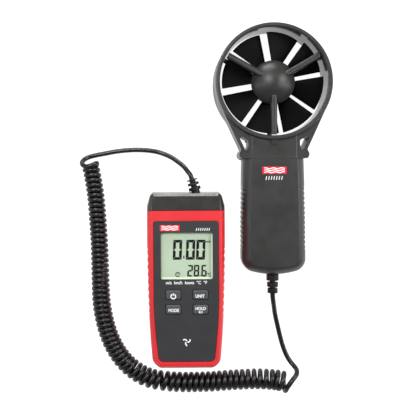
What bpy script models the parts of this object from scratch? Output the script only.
"""Vane anemometer: a hand-held meter and a vane probe, joined by a curly cord.

Both lie face up on a flat surface at Z = 0. +Y runs towards the top of the meter and of
the duct ring, +Z out of the display, along the rotor's axis. The origin is on the surface,
under the middle of the meter and probe taken together. Lengths are in metres.

The meter's parts are modelled in the frame "meter_frame", whose Y axis runs up the middle
of the meter. The probe's parts are modelled in "probe_frame", whose Z axis is the rotor's
axis, and the rotor's own parts hang on "rotor_axis".
"""

import math

import bmesh
import bpy
from mathutils import Euler, Vector
from mathutils.geometry import interpolate_bezier

GAP = 0.0003

# Meter: places along Y, half widths and heights.
METER_X = -0.0370
METER_Y = 0.00075
METER_TURN = math.radians(0.35)
METER_TOP = 0.0015
METER_BOTTOM = -0.1194
METER_DEPTH = 0.028
METER_HALF_WIDTH = 0.0269
METER_TAPER = 0.0034
METER_CORNER = 0.0062
CAP_HALF_WIDTH = 0.0248
CAP_CORNER = (0.0014, 0.0015)
CAP_SHOULDER = -0.0079
CAP_END = -0.0107
CASE_END = CAP_END - GAP
METER_PARTING = 0.014
METER_WALL = 0.0018
CAP_WALL = 0.0017
METER_LEVELS = (
    # height, inset of the sides, place of the top edge
    (0.0, 0.0032, -0.0015),
    (0.0008, 0.0016, 0.0),
    (0.003, 0.0005, 0.0012),
    (0.006, 0.0, METER_TOP),
    (0.014, 0.0, 0.0013),
    (0.0215, 0.0, 0.0011),
    (0.0255, 0.0010, 0.0009),
    (0.0264, 0.0018, 0.0008),
    (METER_DEPTH, 0.0036, -0.0008),
)

PANEL_TOP = -0.0181
PANEL_BOTTOM = -0.1135
PANEL_HALF_WIDTH = 0.0221
PANEL_TAPER = 0.0029
PANEL_TAPER_FROM = -0.0716
PANEL_SEAT = 0.027
DISPLAY_SIZE = (0.0354, 0.0317)
DISPLAY_CENTRE = (0.0004, -0.0418)
KEY_SIZE = (0.0103, 0.0063)
KEY_CORNER = 0.0012
KEY_COLUMNS = (-0.0089, 0.00965)
KEY_ROWS = (-0.0681, -0.0780)
KEYS = {
    "power": (KEY_COLUMNS[0], KEY_ROWS[0]),
    "unit": (KEY_COLUMNS[1], KEY_ROWS[0]),
    "mode": (KEY_COLUMNS[0], KEY_ROWS[1]),
    "hold": (KEY_COLUMNS[1], KEY_ROWS[1]),
}
BOARD_TOP = 0.0188
CASE_SCREWS = ((-0.020, -0.017), (0.020, -0.017), (-0.0209, -0.062), (0.0209, -0.062))
BOSS_RADIUS = 0.0026
SCREW_HEAD = 0.0020
SCREW_SHANK = 0.0011
SCREW_ROOM = 0.00035

BATTERY_RADIUS = 0.00525
BATTERY_LENGTH = 0.0445
BATTERY_PITCH = 0.0112
BATTERY_Z = 0.0077
BAY_TOP = -0.0660
BAY_BOTTOM = -0.1143
DOOR_HALF_WIDTH = 0.018
DOOR_TOP = -0.0626
DOOR_THICKNESS = 0.0018
DOOR_LIP = 0.009

METER_RELIEF = Vector((0.0072, 0.0013, 0.014))
METER_RELIEF_TILT = math.radians(16.6)
RELIEF_HOLE = 0.0034

# Probe: the frame's origin is the rotor's axis.
PROBE_X = 0.0232
RING_Y = 0.07805
PROBE_TURN = math.radians(0.35)
RING_DEPTH = 0.029
RING_RADIUS = 0.0403
RING_BORE = 0.0369
BORE_CUT = 0.0388
NECK_END = -0.0527
NECK_LEVELS = (
    # height, half width
    (0.0006, 0.0120),
    (0.0030, 0.0145),
    (0.0095, 0.0163),
    (0.0140, 0.0168),
    (0.0240, 0.0168),
    (0.0270, 0.0152),
)
HANDLE_TOP = NECK_END - GAP
HANDLE_BOTTOM = -0.1327
HANDLE_HALF_WIDTH = 0.0221
HANDLE_TOP_HALF_WIDTH = 0.0212
HANDLE_CORNER = 0.0095
HANDLE_PARTING = 0.0135
HANDLE_WALL = 0.002
HANDLE_LEVELS = (
    # height, inset
    (0.0, 0.0060),
    (0.0008, 0.0040),
    (0.003, 0.0018),
    (0.007, 0.0003),
    (0.010, 0.0),
    (0.019, 0.0),
    (0.022, 0.0007),
    (0.025, 0.0029),
    (0.0264, 0.0046),
    (0.027, 0.0056),
)
LUG = (0.0204, -0.0498)
LUG_RADIUS = 0.0035
YOKE_BOTTOM = 0.0095
YOKE_TOP = 0.026
SLOT = ((17.6, -40.2), (22.2, -37.5), (23.6, -38.6), (19.9, -46.6), (18.6, -46.9), (17.5, -43.2))
PROBE_RELIEF_Z = 0.014

GUARD_ANGLES = (30, 150, 270)
DOME_RADIUS = 0.015
DOME_CURVATURE = 0.019
DOME_APEX = 0.0301
DOME_EDGE = 0.0224
BLADES = 8
BLADE_GAP_ANGLE = math.radians(100)
BLADE_HALF_GAP = 0.0017
BLADE_TIP = 0.0352
BLADE_ROOT = 0.0136
BLADE_LOW = 0.0144
BLADE_HIGH = 0.0215
BLADE_THICKNESS = 0.0009
ROTOR_HUB = 0.0142
HUB_LOW = 0.0136
HUB_HIGH = 0.022
SHAFT_RADIUS = 0.00065
BEARING_BORE = 0.00095

# Cord: a 3.4 mm cable, and the outside of its curly part.
CORD_RADIUS = 0.0017
COIL_RADIUS = 0.0068
COIL_Z = 0.0069
METER_LEAD = (
    (-32.95, 12.3, 14.0), (-33.6, 14.2, 14.0), (-35.1, 16.1, 13.2), (-38.1, 20.0, 10.8),
    (-41.2, 22.7, 8.2), (-47.5, 27.1, 4.2), (-55.1, 30.3, 2.0), (-61.9, 31.7, 1.8),
    (-70.6, 32.3, 1.8), (-79.3, 32.0, 1.8), (-87.9, 31.0, 1.8), (-94.8, 29.7, 1.8),
    (-101.1, 28.5, 2.0), (-106.1, 27.2, 2.6), (-109.3, 25.4, 4.5), (-110.7, 23.0, 7.5),
)
COIL_AXIS = (
    (-104.6, 19.7), (-103.1, 12.7), (-100.9, -1.7), (-99.4, -19.7), (-98.3, -37.1),
    (-97.6, -59.2), (-97.0, -73.5), (-95.4, -85.4), (-92.1, -97.9), (-87.3, -108.8),
    (-80.8, -118.0), (-73.1, -124.9), (-64.8, -129.6), (-55.5, -132.0), (-40.9, -133.3),
    (-20.9, -133.0), (-3.8, -131.8), (13.3, -131.0), (26.2, -131.6), (33.4, -132.9),
)
COIL_PARTS = {
    "cord_coil_upper": (0.0, 0.4),
    "cord_coil_bend": (0.4, 0.66),
    "cord_coil_lower": (0.66, 1.0),
}
PROBE_LEAD = (
    (35.7, -132.3, 11.8), (38.8, -130.3, 11.9), (41.7, -127.1, 9.6), (42.4, -124.9, 6.5),
    (41.0, -122.9, 3.7), (38.5, -120.0, 1.9), (35.7, -115.2, 1.8), (33.1, -108.5, 1.8),
    (31.3, -102.0, 1.85), (29.1, -93.1, 2.6), (27.0, -84.9, 5.6), (25.6, -78.3, 9.8),
    (24.5, -73.4, 13.1), (24.1, -69.8, 13.95),
)

FINISHES = {
    # colour, roughness, metallic, alpha
    "red_plastic": ((0.78, 0.045, 0.055), 0.42, 0.0, 1.0),
    "cap_plastic": ((0.050, 0.047, 0.043), 0.35, 0.0, 1.0),
    "panel_film": ((0.047, 0.047, 0.050), 0.55, 0.0, 1.0),
    "probe_plastic": ((0.052, 0.048, 0.045), 0.50, 0.0, 1.0),
    "black_plastic": ((0.004, 0.003, 0.003), 0.45, 0.0, 1.0),
    "key_rubber": ((0.070, 0.077, 0.088), 0.55, 0.0, 1.0),
    "clear_plastic": ((0.90, 0.95, 0.92), 0.08, 0.0, 0.3),
    "display_cell": ((0.55, 0.67, 0.50), 0.30, 0.0, 1.0),
    "light_guide": ((0.85, 0.88, 0.84), 0.35, 0.0, 1.0),
    "circuit_board": ((0.03, 0.18, 0.07), 0.45, 0.0, 1.0),
    "component": ((0.03, 0.03, 0.03), 0.50, 0.0, 1.0),
    "silicone": ((0.35, 0.36, 0.37), 0.70, 0.0, 1.0),
    "battery_wrap": ((0.10, 0.22, 0.45), 0.35, 0.0, 1.0),
    "contact_steel": ((0.72, 0.70, 0.66), 0.30, 1.0, 1.0),
    "screw_steel": ((0.45, 0.45, 0.46), 0.35, 1.0, 1.0),
    "magnet": ((0.20, 0.19, 0.19), 0.40, 0.8, 1.0),
    "relief_rubber": ((0.012, 0.012, 0.013), 0.45, 0.0, 1.0),
    "cord_jacket": ((0.016, 0.016, 0.017), 0.35, 0.0, 1.0),
}


# ---------------------------------------------------------------- tools

def clear_scene():
    for obj in list(bpy.data.objects):
        bpy.data.objects.remove(obj, do_unlink=True)


def material(name):
    made = bpy.data.materials.get(name)
    if made:
        return made
    colour, roughness, metallic, alpha = FINISHES[name]
    made = bpy.data.materials.new(name)
    made.use_nodes = True
    shader = made.node_tree.nodes["Principled BSDF"]
    shader.inputs["Base Color"].default_value = (*colour, 1.0)
    shader.inputs["Roughness"].default_value = roughness
    shader.inputs["Metallic"].default_value = metallic
    shader.inputs["Alpha"].default_value = alpha
    return made


def frame(name, location, parent=None, turn=0.0):
    """An empty that holds the pieces of one rigid group, turned a little about Z."""
    empty = bpy.data.objects.new(name, None)
    bpy.context.collection.objects.link(empty)
    empty.location = location
    empty.rotation_euler = (0, 0, turn)
    empty.parent = parent
    return empty


def solid(name, verts, faces, finish=None, parent=None, smooth=False):
    """A closed mesh object with outward faces. With no finish it is a hidden cutter."""
    shape = bmesh.new()
    made = [shape.verts.new(v) for v in verts]
    for face in faces:
        shape.faces.new([made[i] for i in face])
    bmesh.ops.recalc_face_normals(shape, faces=shape.faces)
    mesh = bpy.data.meshes.new(name)
    shape.to_mesh(mesh)
    shape.free()
    if smooth:
        mesh.shade_smooth()
        mesh.set_sharp_from_angle(angle=math.radians(38))
    obj = bpy.data.objects.new(name, mesh)
    bpy.context.collection.objects.link(obj)
    obj.parent = parent
    if finish:
        mesh.materials.append(material(finish))
    else:
        obj.hide_render = True
        obj.display_type = "WIRE"
    return obj


def combine(obj, other, operation):
    """Adds, removes or keeps the helper's volume, then leaves the helper as a hidden guide."""
    step = obj.modifiers.new(f"{operation.lower()}_{other.name}", "BOOLEAN")
    step.operation = operation
    step.solver = "EXACT"
    step.object = other
    return obj


def cut(obj, *others):
    for other in others:
        combine(obj, other, "DIFFERENCE")
    return obj


def fuse(obj, *others):
    for other in others:
        combine(obj, other, "UNION")
    return obj


def loft(name, sections, finish=None, parent=None, smooth=False):
    """A solid through outlines of equal length, each with its height, from low to high."""
    count = len(sections[0][0])
    verts = [(x, y, z) for outline, z in sections for x, y in outline]
    faces = [tuple(range(count))[::-1]]
    for level in range(len(sections) - 1):
        for i in range(count):
            j = (i + 1) % count
            low, high = level * count, (level + 1) * count
            faces.append((low + i, low + j, high + j, high + i))
    last = (len(sections) - 1) * count
    faces.append(tuple(last + i for i in range(count)))
    return solid(name, verts, faces, finish, parent, smooth)


def prism(name, outline, low, high, finish=None, parent=None):
    return loft(name, [(outline, low), (outline, high)], finish, parent)


def block(name, low, high, finish=None, parent=None):
    outline = [(low[0], low[1]), (high[0], low[1]), (high[0], high[1]), (low[0], high[1])]
    return prism(name, outline, low[2], high[2], finish, parent)


def turned(name, profile, steps, finish=None, parent=None, at=(0, 0, 0), turn=(0, 0, 0)):
    """Turns a closed (radius, height) profile round an axis through `at`, Z before `turn`."""
    verts, rings = [], []
    for radius, height in profile:
        if radius < 1e-6:
            rings.append([len(verts)] * steps)
            verts.append(Vector((0, 0, height)))
            continue
        rings.append([len(verts) + i for i in range(steps)])
        for i in range(steps):
            angle = 2 * math.pi * i / steps
            verts.append(Vector((radius * math.cos(angle), radius * math.sin(angle), height)))
    faces = []
    for k, ring in enumerate(rings):
        following = rings[(k + 1) % len(rings)]
        if ring[0] == ring[1] and following[0] == following[1]:
            continue
        for i in range(steps):
            j = (i + 1) % steps
            corners = (ring[i], ring[j], following[j], following[i])
            faces.append(tuple(dict.fromkeys(corners)))
    rotation = Euler(turn).to_matrix()
    verts = [rotation @ v + Vector(at) for v in verts]
    return solid(name, verts, faces, finish, parent, smooth=True)


def rod(name, radius, low, high, steps, finish=None, parent=None, at=(0, 0), turn=(0, 0, 0)):
    profile = [(0, low), (radius, low), (radius, high), (0, high)]
    centre = (at[0], at[1], at[2] if len(at) > 2 else 0)
    return turned(name, profile, steps, finish, parent, centre, turn)


def arc(centre, radius, start, end, steps):
    """Points on a circle's arc, angles in degrees."""
    angles = [math.radians(start + (end - start) * i / steps) for i in range(steps + 1)]
    return [(centre[0] + radius * math.cos(a), centre[1] + radius * math.sin(a)) for a in angles]


def cut_corner(centre, radius, steps):
    """A bottom right corner that lies between a chamfer and an arc."""
    points = []
    for i in range(steps + 1):
        turn = math.pi / 2 * i / steps
        across, down = max(0.0, math.cos(turn)), math.sin(turn)
        points.append((centre[0] + radius * across ** 1.33, centre[1] - radius * down ** 1.33))
    return points


def mirrored(right):
    """Closes a right-hand outline, listed from the top down, with its mirror image."""
    left = [(-x, y) for x, y in reversed(right) if x > 1e-6]
    return list(reversed(right + left))


def rounded_box(width, height, radius, centre=(0, 0), steps=3):
    x, y = width / 2 - radius, height / 2 - radius
    corners = ((x, y, 0), (-x, y, 90), (-x, -y, 180), (x, -y, 270))
    return [
        point
        for cx, cy, start in corners
        for point in arc((centre[0] + cx, centre[1] + cy), radius, start, start + 90, steps)
    ]


def levels_between(levels, low, high):
    """The levels from `low` to `high`, the end levels worked out between their neighbours."""
    def at(height):
        for lower, upper in zip(levels, levels[1:]):
            if lower[0] <= height <= upper[0]:
                share = (height - lower[0]) / (upper[0] - lower[0])
                return tuple(a + (b - a) * share for a, b in zip(lower, upper))
        return levels[-1]
    inside = [level for level in levels if low + 1e-5 < level[0] < high - 1e-5]
    return [at(low), *inside, at(high)]


def smooth_route(points, spacing):
    """Even steps along a smooth curve through the points, which are in millimetres."""
    knots = [Vector(p) / 1000 for p in points]
    knots = [k.to_3d() for k in knots]
    dense = []
    for i in range(len(knots) - 1):
        before = knots[i - 1] if i else knots[i]
        after = knots[i + 2] if i + 2 < len(knots) else knots[i + 1]
        reach_in = (knots[i + 1] - before) / 6
        reach_out = (after - knots[i]) / 6
        here, there = knots[i], knots[i + 1]
        piece = interpolate_bezier(here, here + reach_in, there - reach_out, there, 24)
        dense += piece[:-1]
    dense.append(knots[-1])
    lengths = [0.0]
    for a, b in zip(dense, dense[1:]):
        lengths.append(lengths[-1] + (b - a).length)
    count = max(2, round(lengths[-1] / spacing))
    route, place = [], 0
    for step in range(count + 1):
        wanted = lengths[-1] * step / count
        while place < len(dense) - 2 and lengths[place + 1] < wanted:
            place += 1
        share = (wanted - lengths[place]) / (lengths[place + 1] - lengths[place])
        route.append(dense[place].lerp(dense[place + 1], share))
    return route


def tube(name, route, radius, finish, detail):
    curve = bpy.data.curves.new(name, "CURVE")
    curve.dimensions = "3D"
    curve.bevel_depth = radius
    curve.bevel_resolution = detail
    curve.use_fill_caps = True
    line = curve.splines.new("POLY")
    line.points.add(len(route) - 1)
    for point, place in zip(line.points, route):
        point.co = (*place, 1.0)
    curve.materials.append(material(finish))
    obj = bpy.data.objects.new(name, curve)
    bpy.context.collection.objects.link(obj)
    return obj


def screw(name, parent, at, head_low, head_high, tip):
    profile = [
        (0, head_low), (SCREW_HEAD, head_low), (SCREW_HEAD, head_high),
        (SCREW_SHANK, head_high), (SCREW_SHANK, tip), (0, tip),
    ]
    return turned(name, profile, 12, "screw_steel", parent, (at[0], at[1], 0))


def screw_hole(name, parent, at, seat, top):
    """Clearance for a screw: a counterbore up to `seat`, then the shank's hole."""
    wide, narrow = SCREW_HEAD + SCREW_ROOM, SCREW_SHANK + SCREW_ROOM
    profile = [(0, -0.001), (wide, -0.001), (wide, seat), (narrow, seat), (narrow, top), (0, top)]
    return turned(name, profile, 12, None, parent, (at[0], at[1], 0))


def screw_pilot(name, parent, at):
    """The blind hole that a screw's tip turns into."""
    return rod(name, SCREW_SHANK + SCREW_ROOM, 0.012, 0.0205, 12, None, parent, at)


# ---------------------------------------------------------------- meter

def meter_half_width(y):
    share = min(1.0, max(0.0, (CAP_END - y) / (CAP_END + 0.1142)))
    return METER_HALF_WIDTH - METER_TAPER * share ** 3


def case_outline(inset):
    """The red case in plan, from the cap down to the cut corners of the foot."""
    radius = max(METER_CORNER - inset, 0.002)
    foot = METER_BOTTOM + inset
    corner_y = foot + radius
    right = [(meter_half_width(y) - inset, y) for y in (CASE_END, -0.036, -0.060, -0.081, -0.099)]
    corner_x = meter_half_width(corner_y) - inset - radius
    right += cut_corner((corner_x, corner_y), radius, 4)
    return mirrored(right)


def cap_outline(inset, top, end=CAP_END):
    """The end cap in plan, with its cut shoulders and top corners."""
    corner = CAP_HALF_WIDTH - 0.45 * inset
    side = METER_HALF_WIDTH - inset
    across, down = CAP_CORNER
    right = [(corner - across, top), (corner, top - down), (side, CAP_SHOULDER), (side, end)]
    return mirrored(right)


def case_sections(low, high, wall=0.0):
    return [(case_outline(inset + wall), z) for z, inset, _ in levels_between(METER_LEVELS, low, high)]


def panel_outline(inset):
    """The dark front panel: straight sides that draw in below the display."""
    half, low = PANEL_HALF_WIDTH - inset, PANEL_BOTTOM + inset
    top = PANEL_TOP - inset
    narrow = half - PANEL_TAPER
    right = arc((half - 0.002, top - 0.002), 0.002, 90, 0, 3)
    for share in (0.0, 0.35, 0.7):
        y = PANEL_TAPER_FROM + (low + 0.003 - PANEL_TAPER_FROM) * share
        right.append((half - PANEL_TAPER * share ** 1.6, y))
    right += arc((narrow - 0.003, low + 0.003), 0.003, 0, -90, 3)
    return mirrored(right)


def door_profile(name, meter, grow):
    """The battery door's volume before it takes the case's outer shape: a plate with a lip."""
    half, foot, floor = DOOR_HALF_WIDTH + grow, -0.125, -0.001
    top, lip_y = DOOR_TOP + grow, -0.1177 + grow
    plate, lip = DOOR_THICKNESS + grow, DOOR_LIP + grow
    side = [
        (foot, floor), (top, floor), (top, plate), (lip_y, plate), (lip_y, lip), (foot, lip),
    ]
    count = len(side)
    verts = [(-half, y, z) for y, z in side] + [(half, y, z) for y, z in side]
    faces = [tuple(range(count)), tuple(range(count, 2 * count))[::-1]]
    faces += [(i, (i + 1) % count, count + (i + 1) % count, count + i) for i in range(count)]
    return solid(name, verts, faces, None, meter)


def make_rear_case(meter):
    case = loft("rear_case", case_sections(0.0, METER_PARTING - GAP / 2), "red_plastic", meter, True)
    cut(case, loft("rear_pocket", case_sections(0.0019, 0.0150, METER_WALL), None, meter))
    low, high = 0.001, 0.0132
    head_low, head_high = (-0.0255, BAY_TOP, low), (0.0255, BAY_TOP + 0.002, high)
    foot_low, foot_high = (-0.0226, BAY_BOTTOM - 0.0012, low), (0.0226, BAY_BOTTOM, high)
    fuse(case, block("bay_head", head_low, head_high, None, meter))
    fuse(case, block("bay_foot", foot_low, foot_high, None, meter))
    boss_top = METER_PARTING - GAP / 2
    for number, at in enumerate(CASE_SCREWS, 1):
        fuse(case, rod(f"rear_boss_{number}", BOSS_RADIUS, low, boss_top, 12, None, meter, at))
    cut(case, door_profile("door_space", meter, GAP))
    for number, at in enumerate(CASE_SCREWS, 1):
        cut(case, screw_hole(f"rear_screw_hole_{number}", meter, at, 0.0028, 0.020))


def make_front_case(meter):
    bottom = METER_PARTING + GAP / 2
    case = loft("front_case", case_sections(bottom, METER_DEPTH), "red_plastic", meter, True)
    cut(case, loft("front_pocket", case_sections(0.0130, 0.0250, METER_WALL), None, meter))
    for number, at in enumerate(CASE_SCREWS, 1):
        fuse(case, rod(f"front_boss_{number}", BOSS_RADIUS, bottom, 0.0255, 12, None, meter, at))
    cut(case, prism("panel_recess", panel_outline(-GAP), PANEL_SEAT, 0.030, None, meter))
    opening_size = (DISPLAY_SIZE[0] + 0.0022, DISPLAY_SIZE[1] + 0.0025)
    opening = rounded_box(*opening_size, 0.0006, DISPLAY_CENTRE, 1)
    cut(case, prism("display_opening", opening, 0.024, 0.030, None, meter))
    for name, at in KEYS.items():
        hole = rounded_box(KEY_SIZE[0] + 0.0009, KEY_SIZE[1] + 0.0009, KEY_CORNER, at, 2)
        cut(case, prism(f"case_hole_{name}", hole, 0.024, 0.030, None, meter))
    for number, at in enumerate(CASE_SCREWS, 1):
        cut(case, screw_pilot(f"front_screw_hole_{number}", meter, at))


def make_top_cap(meter):
    sections = [(cap_outline(inset, top), z) for z, inset, top in METER_LEVELS]
    cap = loft("top_cap", sections, "cap_plastic", meter, True)
    hollow = [
        (cap_outline(inset + CAP_WALL, top - CAP_WALL, CAP_END - 0.004), z)
        for z, inset, top in levels_between(METER_LEVELS, 0.0018, 0.0262)
    ]
    cut(cap, loft("cap_pocket", hollow, None, meter))
    tilt = (math.radians(-90), 0, METER_RELIEF_TILT)
    cut(cap, rod("cap_relief_hole", RELIEF_HOLE, -0.004, 0.004, 16, None, meter, METER_RELIEF, tilt))


def make_front_panel(meter):
    panel = prism("front_panel", panel_outline(0), PANEL_SEAT + GAP, 0.0281, "panel_film", meter)
    window = rounded_box(*DISPLAY_SIZE, 0.0014, DISPLAY_CENTRE, 3)
    cut(panel, prism("panel_window", window, 0.026, 0.030, None, meter))
    for name, at in KEYS.items():
        hole = rounded_box(KEY_SIZE[0] + 0.0007, KEY_SIZE[1] + 0.0007, KEY_CORNER, at, 2)
        cut(panel, prism(f"panel_hole_{name}", hole, 0.026, 0.030, None, meter))


def make_display(meter):
    half_x, half_y = DISPLAY_SIZE[0] / 2 + 0.0007, DISPLAY_SIZE[1] / 2 + 0.0008
    left, right = DISPLAY_CENTRE[0] - half_x, DISPLAY_CENTRE[0] + half_x
    foot, head = DISPLAY_CENTRE[1] - half_y, DISPLAY_CENTRE[1] + half_y
    layers = (
        ("display_lens", 0.0262, PANEL_SEAT, "clear_plastic"),
        ("display_glass", 0.0242, 0.0259, "display_cell"),
        ("backlight", 0.0213, 0.0239, "light_guide"),
    )
    for name, low, high, finish in layers:
        block(name, (left, foot, low), (right, head, high), finish, meter)


def make_electronics(meter):
    board_low = BOARD_TOP - 0.0016
    parts = (
        ("main_board", (-0.017, -0.086, board_low), (0.017, -0.0125, BOARD_TOP), "circuit_board"),
        ("main_chip", (-0.006, -0.046, BOARD_TOP + GAP), (0.006, -0.034, BOARD_TOP + 0.0018), "component"),
        ("cord_socket", (0.003, -0.020, 0.0120), (0.011, -0.014, board_low - GAP), "light_guide"),
        ("keypad_mat", (-0.0165, -0.0835, 0.0206), (0.0169, -0.0625, 0.0216), "silicone"),
    )
    for name, low, high, finish in parts:
        block(name, low, high, finish, meter)


def make_keys(meter):
    """Four stepped keys, each with a stem, a flange that the case holds back, and a cap."""
    for name, at in KEYS.items():
        stem = rounded_box(0.004, 0.004, KEY_CORNER, steps=2)
        flange = rounded_box(0.0119, 0.0079, KEY_CORNER, steps=2)
        cap = rounded_box(*KEY_SIZE, KEY_CORNER, steps=2)
        crown = rounded_box(KEY_SIZE[0] - 0.0009, KEY_SIZE[1] - 0.0009, 0.0009, steps=2)
        sections = [
            (stem, 0.0227), (stem, 0.0234), (flange, 0.0234), (flange, 0.0245),
            (cap, 0.0245), (cap, 0.0285), (crown, 0.0289),
        ]
        key = loft(f"key_{name}", sections, "key_rubber", meter)
        key.location = (at[0], at[1], 0)
        low = (at[0] - 0.003, at[1] - 0.003, BOARD_TOP + GAP)
        block(f"switch_{name}", low, (at[0] + 0.003, at[1] + 0.003, 0.0203), "contact_steel", meter)


def make_battery_door(meter):
    door = loft("battery_door", case_sections(0.0, 0.0100), "red_plastic", meter, True)
    combine(door, door_profile("door_plate", meter, 0.0), "INTERSECT")


def make_batteries(meter):
    """Three cells side by side, every other one turned round, each with its spring and plate."""
    for number in (1, 2, 3):
        x = (number - 2) * BATTERY_PITCH
        turn = 1 if number % 2 else -1
        plate_face = BAY_TOP if turn > 0 else BAY_BOTTOM
        spring_face = BAY_BOTTOM if turn > 0 else BAY_TOP
        up = (math.radians(-90 * turn), 0, 0)
        spring = [(0, GAP), (0.0036, GAP), (0.0032, 0.0009), (0.0016, 0.0024), (0, 0.0024)]
        at = (x, spring_face, BATTERY_Z)
        turned(f"battery_spring_{number}", spring, 10, "contact_steel", meter, at, up)
        start = 0.0027
        end = start + BATTERY_LENGTH
        shoulder = end - 0.001
        cell = [
            (0, start), (BATTERY_RADIUS, start), (BATTERY_RADIUS, shoulder),
            (0.0027, shoulder), (0.0027, end), (0, end),
        ]
        turned(f"battery_{number}", cell, 16, "battery_wrap", meter, at, up)
        near, far = plate_face - turn * GAP, plate_face - turn * 0.0008
        low = (x - 0.004, min(near, far), BATTERY_Z - 0.004)
        high = (x + 0.004, max(near, far), BATTERY_Z + 0.004)
        block(f"battery_plate_{number}", low, high, "contact_steel", meter)


def make_meter_relief(meter):
    """Flange inside the cap, neck through its wall, then three rings that thin out."""
    profile = [
        (0, -0.0040), (0.0043, -0.0040), (0.0043, -0.0032), (0.0030, -0.0032), (0.0030, 0.0016),
        (0.0043, 0.0016), (0.0043, 0.0039), (0.0022, 0.0039), (0.0022, 0.0050),
        (0.0040, 0.0050), (0.0040, 0.0071), (0.0022, 0.0071), (0.0022, 0.0083),
        (0.0036, 0.0083), (0.0036, 0.0095), (0.0019, 0.0095), (0.0019, 0.0098), (0, 0.0098),
    ]
    tilt = (math.radians(-90), 0, METER_RELIEF_TILT)
    turned("meter_relief", profile, 18, "relief_rubber", meter, METER_RELIEF, tilt)


# ---------------------------------------------------------------- probe

def make_vane_head(probe):
    """The duct ring, with its neck, two braces and two lugs, as one moulding."""
    ring_profile = [
        (0.0384, 0.0), (0.0395, 0.0), (0.0403, 0.0010), (0.0407, 0.0040), (RING_RADIUS, 0.015),
        (0.0400, 0.0283), (0.0397, RING_DEPTH), (0.0374, RING_DEPTH), (RING_BORE, 0.0284),
        (RING_BORE, 0.0100),
    ]
    head = turned("vane_head", ring_profile, 44, "probe_plastic", probe)
    bore = rod("duct_bore", BORE_CUT, -0.002, 0.032, 44, None, probe)
    lug_side = (0.0226, -0.0465)
    distance = math.hypot(*lug_side)
    tangent = math.atan2(lug_side[1], lug_side[0]) + math.acos(0.0400 / distance)
    right = [(0.0400 * math.cos(tangent), 0.0400 * math.sin(tangent)), lug_side]
    right += arc(LUG, LUG_RADIUS, 40, -50, 3)
    right.append((0.017, NECK_END + 0.0001))
    yoke = prism("yoke", mirrored(right), YOKE_BOTTOM, YOKE_TOP, None, probe)
    cut(yoke, bore)
    for side in (-1, 1):
        slot = [(side * x / 1000, y / 1000) for x, y in SLOT]
        cut(yoke, prism(f"slot_{side + 1}", slot, -0.002, 0.032, None, probe))
    top = -0.036
    sections = [
        ([(-half, NECK_END), (half, NECK_END), (half, top), (-half, top)], z)
        for z, half in NECK_LEVELS
    ]
    neck = loft("neck", sections, None, probe)
    cut(neck, bore)
    nub = block("ring_nub", (-0.0021, -0.0432, 0.0255), (0.0021, -0.0395, 0.0280), None, probe)
    fuse(head, yoke, neck, nub)
    cut(head, block("neck_cavity", (-0.0135, -0.060, 0.0036), (0.0135, -0.0425, 0.0245), None, probe))
    for side in (-1, 1):
        at = (side * LUG[0], LUG[1])
        cut(head, rod(f"lug_hole_{side + 1}", SCREW_SHANK + SCREW_ROOM, 0.0, 0.0215, 12, None, probe, at))


def dome_height(radius):
    return DOME_APEX - DOME_CURVATURE + math.sqrt(DOME_CURVATURE ** 2 - radius ** 2)


def spoke(name, probe, angle, inner, outer, radius, height):
    """A round spoke that points outwards from the axis."""
    turn = Euler((0, math.radians(90), math.radians(angle))).to_matrix()
    start = turn @ Vector((0, 0, inner)) + Vector((0, 0, height))
    length = outer - inner
    return rod(name, radius, 0, length, 10, None, probe, start, (0, math.radians(90), math.radians(angle)))


def make_front_guard(probe):
    radii = [0.0, 0.004, 0.008, 0.0115, DOME_RADIUS]
    profile = [(r, dome_height(r)) for r in radii]
    profile += [
        (DOME_RADIUS, DOME_EDGE), (0.0138, DOME_EDGE), (0.0125, 0.0238), (0.0080, 0.0260),
        (0.0034, 0.0268), (0.0034, 0.0236), (0.0024, 0.0236), (0.0024, 0.0274), (0.0, 0.0274),
    ]
    guard = turned("front_guard", profile, 28, "probe_plastic", probe)
    for angle in GUARD_ANGLES:
        fuse(guard, spoke(f"front_spoke_{angle}", probe, angle, 0.0090, RING_BORE - GAP, 0.0020, 0.0252))


def make_rear_guard(probe):
    profile = [
        (0.0, 0.0008), (0.0090, 0.0008), (0.0125, 0.0026), (0.0125, 0.0095), (0.0112, 0.0095),
        (0.0112, 0.0042), (0.0034, 0.0038), (0.0034, 0.0075), (0.0024, 0.0075), (0.0024, 0.0026),
        (0.0, 0.0026),
    ]
    guard = turned("rear_guard", profile, 24, "probe_plastic", probe)
    for angle in GUARD_ANGLES:
        fuse(guard, spoke(f"rear_spoke_{angle}", probe, angle, 0.0118, 0.0370, 0.0017, 0.0034))


def make_bearings(probe):
    for name, low, high in (("front_bearing", 0.0239, 0.0271), ("rear_bearing", 0.0029, 0.0070)):
        profile = [(BEARING_BORE, low), (0.0021, low), (0.0021, high), (BEARING_BORE, high)]
        turned(name, profile, 12, "contact_steel", probe)


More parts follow.
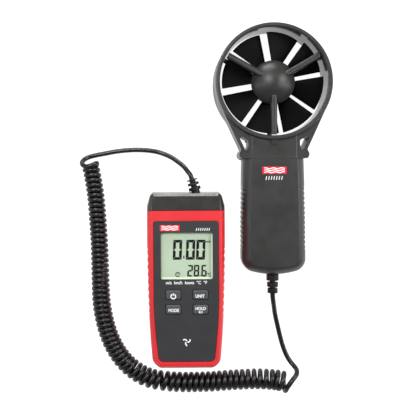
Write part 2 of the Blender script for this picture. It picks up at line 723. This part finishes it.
def blade(name, rotor, start):
    """One pitched blade of even thickness, between two gaps with parallel sides."""
    radii = [BLADE_ROOT, 0.0205, 0.0278, BLADE_TIP]
    across = [0.0, 0.33, 0.67, 1.0]
    verts = []
    for lift in (0.0, BLADE_THICKNESS):
        for radius in radii:
            trim = math.asin(BLADE_HALF_GAP / radius)
            for share in across:
                angle = start + trim + (2 * math.pi / BLADES - 2 * trim) * share
                height = BLADE_LOW + (BLADE_HIGH - BLADE_THICKNESS - BLADE_LOW) * share
                verts.append((radius * math.cos(angle), radius * math.sin(angle), height + lift))
    rows, columns = len(radii), len(across)
    layer = rows * columns
    faces = []
    for i in range(rows - 1):
        for j in range(columns - 1):
            a, b = i * columns + j, (i + 1) * columns + j
            faces.append((a, b, b + 1, a + 1))
            faces.append((layer + a, layer + a + 1, layer + b + 1, layer + b))
    edge = [j for j in range(columns)]
    edge += [i * columns + columns - 1 for i in range(1, rows)]
    edge += [(rows - 1) * columns + j for j in range(columns - 2, -1, -1)]
    edge += [i * columns for i in range(rows - 2, 0, -1)]
    for a, b in zip(edge, edge[1:] + edge[:1]):
        faces.append((a, b, layer + b, layer + a))
    return solid(name, verts, faces, None, rotor)


def make_rotor(rotor):
    """The impeller, its shaft and magnet. Heights are the probe's, and the frame is on the axis."""
    hub = [(0.0010, HUB_LOW), (ROTOR_HUB, HUB_LOW), (ROTOR_HUB, HUB_HIGH), (0.0010, HUB_HIGH)]
    impeller = turned("impeller", hub, 32, "black_plastic", rotor)
    for number in range(BLADES):
        start = BLADE_GAP_ANGLE + 2 * math.pi * number / BLADES
        fuse(impeller, blade(f"blade_{number + 1}", rotor, start))
    rod("rotor_shaft", SHAFT_RADIUS, 0.0032, 0.0267, 10, "screw_steel", rotor)
    magnet = [(0.0030, 0.0112), (0.0080, 0.0112), (0.0080, HUB_LOW - GAP), (0.0030, HUB_LOW - GAP)]
    turned("rotor_magnet", magnet, 20, "magnet", rotor)


def make_sensors(probe):
    block("pickup_sensor", (0.0048, -0.0015, 0.0072), (0.0096, 0.0015, 0.0088), "component", probe)
    bead = [(0, 0.0), (0.0005, 0.0), (0.0006, 0.0004), (0.0006, 0.0011), (0.0004, 0.0015), (0, 0.0015)]
    at = (-0.0190, -0.0401, 0.022)
    turned("thermistor", bead, 10, "component", probe, at, (math.radians(90), 0, 0))
    block("probe_board", (-0.013, -0.112, 0.0129), (0.013, -0.076, 0.0145), "circuit_board", probe)


def handle_outline(inset, top=HANDLE_TOP):
    """The handle in plan: a straight top, sides that widen a little and a round foot."""
    radius = max(HANDLE_CORNER - inset, 0.003)
    corner_y = -0.1215
    corner_x = HANDLE_HALF_WIDTH - inset - radius
    sides = ((HANDLE_TOP_HALF_WIDTH, top), (0.0217, -0.075), (HANDLE_HALF_WIDTH, -0.100))
    right = [(half - inset, y) for half, y in sides]
    right += arc((corner_x, corner_y - (HANDLE_CORNER - radius) + inset), radius, 0, -75, 4)
    right += [(0.0075 * (1 - inset * 20), HANDLE_BOTTOM + 0.0005 + inset), (0.0, HANDLE_BOTTOM + inset)]
    return mirrored(right)


def handle_sections(low, high, wall=0.0, top=HANDLE_TOP):
    levels = levels_between(HANDLE_LEVELS, low, high)
    return [(handle_outline(inset + wall, top), z) for z, inset in levels]


def make_handle(probe):
    """Two shells that meet at the parting plane, with two screw posts."""
    low, high = HANDLE_PARTING - GAP / 2, HANDLE_PARTING + GAP / 2
    rear = loft("handle_rear", handle_sections(0.0, low), "probe_plastic", probe, True)
    front = loft("handle_front", handle_sections(high, 0.027), "probe_plastic", probe, True)
    rear_hollow = handle_sections(0.0022, 0.0150, HANDLE_WALL, -0.051)
    front_hollow = handle_sections(0.0120, 0.0248, HANDLE_WALL, -0.051)
    cut(rear, loft("handle_rear_pocket", rear_hollow, None, probe))
    cut(front, loft("handle_front_pocket", front_hollow, None, probe))
    hole = rod("handle_relief_hole", RELIEF_HOLE, -0.006, 0.006, 16, None, probe,
               (0, HANDLE_BOTTOM, PROBE_RELIEF_Z), (math.radians(90), 0, 0))
    for number, y in enumerate((-0.0715, -0.1180), 1):
        at = (0, y)
        fuse(rear, rod(f"handle_rear_post_{number}", BOSS_RADIUS, 0.001, low, 12, None, probe, at))
        fuse(front, rod(f"handle_front_post_{number}", BOSS_RADIUS, high, 0.0255, 12, None, probe, at))
        cut(rear, screw_hole(f"handle_screw_hole_{number}", probe, at, 0.0030, 0.020))
        cut(front, screw_pilot(f"handle_pilot_{number}", probe, at))
        screw(f"handle_screw_{number}", probe, at, 0.0008, 0.0027, 0.0195)
    cut(rear, hole)
    cut(front, hole)
    for side, name in ((-1, "left"), (1, "right")):
        at = (side * LUG[0], LUG[1])
        fuse(rear, rod(f"ear_{name}", 0.0034, 0.003, YOKE_BOTTOM - GAP, 16, None, probe, at))
        web_low = (min(side * 0.0180, side * 0.0205), -0.058, 0.0045)
        web_high = (max(side * 0.0180, side * 0.0205), LUG[1], YOKE_BOTTOM - 0.0006)
        fuse(rear, block(f"ear_web_{name}", web_low, web_high, None, probe))
        cut(rear, screw_hole(f"ear_hole_{name}", probe, at, 0.0053, 0.020))
        screw(f"head_screw_{name}", probe, at, 0.0033, 0.0050, 0.0205)


def make_probe_relief(probe):
    """Flange inside the handle's foot, a collar outside it, then two rings."""
    foot = HANDLE_BOTTOM
    profile = [
        (0, -0.0048), (0.0043, -0.0048), (0.0043, -0.0032), (0.0030, -0.0032), (0.0030, 0.0007),
        (0.0043, 0.0007), (0.0043, 0.0050), (0.0018, 0.0050), (0.0018, 0.0063),
        (0.0039, 0.0063), (0.0039, 0.0095), (0.0018, 0.0095), (0.0018, 0.0105),
        (0.0036, 0.0105), (0.0036, 0.0139), (0.0018, 0.0142), (0, 0.0142),
    ]
    at = (0, foot, PROBE_RELIEF_Z)
    turned("probe_relief", profile, 18, "relief_rubber", probe, at, (math.radians(90), 0, 0))


# ---------------------------------------------------------------- cord

def make_cord():
    spacing = 2.3 * 2 * CORD_RADIUS
    tube("cord_meter_lead", smooth_route(METER_LEAD, spacing), CORD_RADIUS, "cord_jacket", 2)
    tube("cord_probe_lead", smooth_route(PROBE_LEAD, spacing), CORD_RADIUS, "cord_jacket", 2)
    axis = smooth_route([(x, y, COIL_Z * 1000) for x, y in COIL_AXIS], 0.0015)
    for name, (start, end) in COIL_PARTS.items():
        run = axis[round(start * (len(axis) - 1)):round(end * (len(axis) - 1)) + 1]
        if start:
            run[0] = run[0].lerp(run[1], 1.6 * GAP / (run[1] - run[0]).length)
        # The end steps stay short, so that neighbours meet square.
        route = [run[0], *run[1:-5:6], run[-2], run[-1]]
        tube(name, route, COIL_RADIUS, "cord_jacket", 3)


def build():
    clear_scene()
    meter = frame("meter_frame", (METER_X, METER_Y, 0), None, METER_TURN)
    make_rear_case(meter)
    make_front_case(meter)
    make_top_cap(meter)
    make_front_panel(meter)
    make_display(meter)
    make_electronics(meter)
    make_keys(meter)
    make_battery_door(meter)
    make_batteries(meter)
    for number, at in enumerate(CASE_SCREWS, 1):
        screw(f"case_screw_{number}", meter, at, 0.0009, 0.0025, 0.0195)
    make_meter_relief(meter)

    probe = frame("probe_frame", (PROBE_X, RING_Y, 0), None, PROBE_TURN)
    make_vane_head(probe)
    make_front_guard(probe)
    make_rear_guard(probe)
    make_bearings(probe)
    make_rotor(frame("rotor_axis", (0, 0, 0), probe))
    make_sensors(probe)
    make_handle(probe)
    make_probe_relief(probe)
    make_cord()


build()
